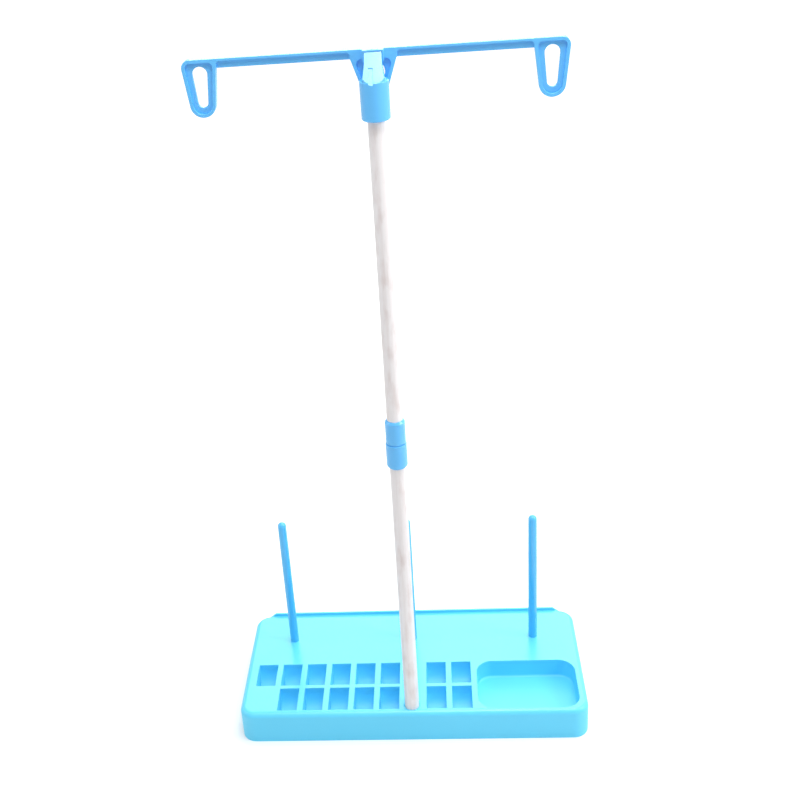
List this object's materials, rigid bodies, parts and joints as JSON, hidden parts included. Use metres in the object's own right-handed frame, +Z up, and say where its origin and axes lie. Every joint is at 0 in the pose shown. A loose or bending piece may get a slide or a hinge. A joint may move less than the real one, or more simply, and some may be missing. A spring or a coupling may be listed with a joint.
{
  "type": "thread rack",
  "caption": "Table-top thread rack: a moulded tray base with bobbin slots and spool pins, and a turning wooden mast that carries a thread guide bar with loops.",
  "frame": {"origin": "middle of the base's footprint, on the table", "axes": "+X to the right along the base, +Y to the back, +Z up along the mast"},
  "size_m": [0.25, 0.115, 0.4841],
  "materials": {
    "blue_plastic": "glossy moulded plastic, light sky blue",
    "pale_wood": "smooth bare birch, very pale"
  },
  "bodies": {
    "stand": {"base_tray": "blue_plastic", "spool_pin_left": "blue_plastic", "spool_pin_centre": "blue_plastic", "spool_pin_right": "blue_plastic", "lower_dowel": "pale_wood", "lower_sleeve": "blue_plastic"},
    "upper_mast": {"upper_sleeve": "blue_plastic", "upper_dowel": "pale_wood", "guide_collar": "blue_plastic", "guide_bar": "blue_plastic"}
  },
  "joints": [
    {"name": "mast_turn", "type": "hinge", "parent": "stand", "child": "upper_mast", "pos_m": [0, -0.049, 0.2411], "axis": [0, 0, 1], "continuous": true}
  ]
}
